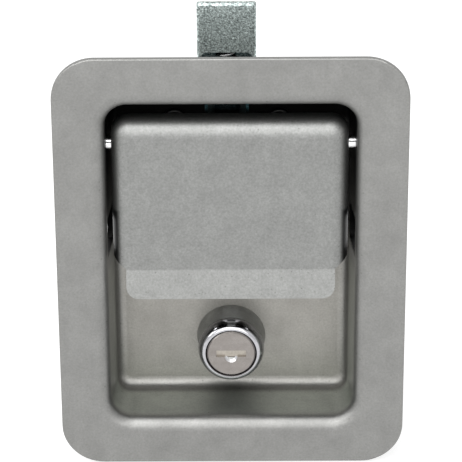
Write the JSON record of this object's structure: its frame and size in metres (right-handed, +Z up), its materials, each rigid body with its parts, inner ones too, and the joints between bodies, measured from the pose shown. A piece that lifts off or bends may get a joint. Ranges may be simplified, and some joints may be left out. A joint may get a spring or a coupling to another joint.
{
  "type": "paddle latch",
  "caption": "Flush-mounted zinc-plated paddle latch: drawn pan, hinged pull paddle, sprung slam bolt rising from the top, and a cylinder cam lock below the paddle.",
  "frame": {"origin": "middle of the rectangle of four weld studs, on the back face of the flange, where the latch meets the outside of the door", "axes": "+X to the right seen from in front of the door, +Y into the door along the studs, +Z up towards the bolt's nose"},
  "size_m": [0.1106, 0.0423, 0.1489],
  "materials": {
    "zinc_sheet": "zinc-plated pressed steel, dull satin with a faint clear chromate tint",
    "sintered_steel": "zinc-plated sintered steel, fine grainy surface",
    "spring_steel": "bright spring steel",
    "plated_steel": "bright zinc plate",
    "lock_casting": "plated zinc die casting, satin",
    "bright_chrome": "bright chrome",
    "satin_steel": "satin stainless steel",
    "wafer_brass": "plain brass"
  },
  "bodies": {
    "frame": {"pan": "zinc_sheet", "panel_studs": "plated_steel", "pivot_pin": "spring_steel", "bolt_housing": "zinc_sheet", "housing_rivets": "plated_steel", "bolt_spring": "spring_steel", "spring_guide": "plated_steel", "lock_body": "lock_casting", "lock_bezel": "bright_chrome", "lock_washer": "plated_steel", "lock_nut": "plated_steel"},
    "pull_paddle": {"paddle": "zinc_sheet", "trip_lever": "zinc_sheet", "lock_hook": "zinc_sheet", "paddle_spring": "spring_steel"},
    "slam_bolt": {"bolt": "sintered_steel"},
    "key_plug": {"lock_plug": "lock_casting", "plug_cap": "satin_steel", "shutter_pin": "spring_steel", "wafer_springs": "spring_steel", "stop_washer": "plated_steel", "lock_cam": "zinc_sheet", "cam_washer": "plated_steel", "cam_screw": "plated_steel"},
    "dust_flap": {"key_shutter": "satin_steel"},
    "wafer_stack": {"wafers": "wafer_brass"}
  },
  "joints": [
    {"name": "paddle_pivot", "type": "hinge", "parent": "frame", "child": "pull_paddle", "pos_m": [0, 0.007, 0.0392], "axis": [-1, 0, 0], "range_deg": [0, 25], "stiffness_Nm_per_rad": 0.25, "springref_deg": -28.65},
    {"name": "bolt_slide", "type": "slide", "parent": "frame", "child": "slam_bolt", "axis": [0, 0, -1], "range_m": [0, 0.01082], "stiffness_N_per_m": 800, "springref_m": -0.01, "deforming": ["bolt_spring"]},
    {"name": "lock_turn", "type": "hinge", "parent": "frame", "child": "key_plug", "pos_m": [-0.0003, 0.01, -0.0365], "axis": [0, -1, 0], "range_deg": [0, 90]},
    {"name": "shutter_flap", "type": "hinge", "parent": "key_plug", "child": "dust_flap", "pos_m": [-0.0003, 0.01075, -0.03455], "axis": [1, 0, 0], "range_deg": [0, 85], "stiffness_Nm_per_rad": 0.002, "springref_deg": -17.19},
    {"name": "wafer_lift", "type": "slide", "parent": "key_plug", "child": "wafer_stack", "axis": [1, 0, 0], "range_m": [0, 0.0008], "stiffness_N_per_m": 150, "springref_m": 0.002}
  ],
  "couplings": [
    {"joint": "paddle_pivot", "follows": "bolt_slide", "rad_per_m": 40.319}
  ]
}
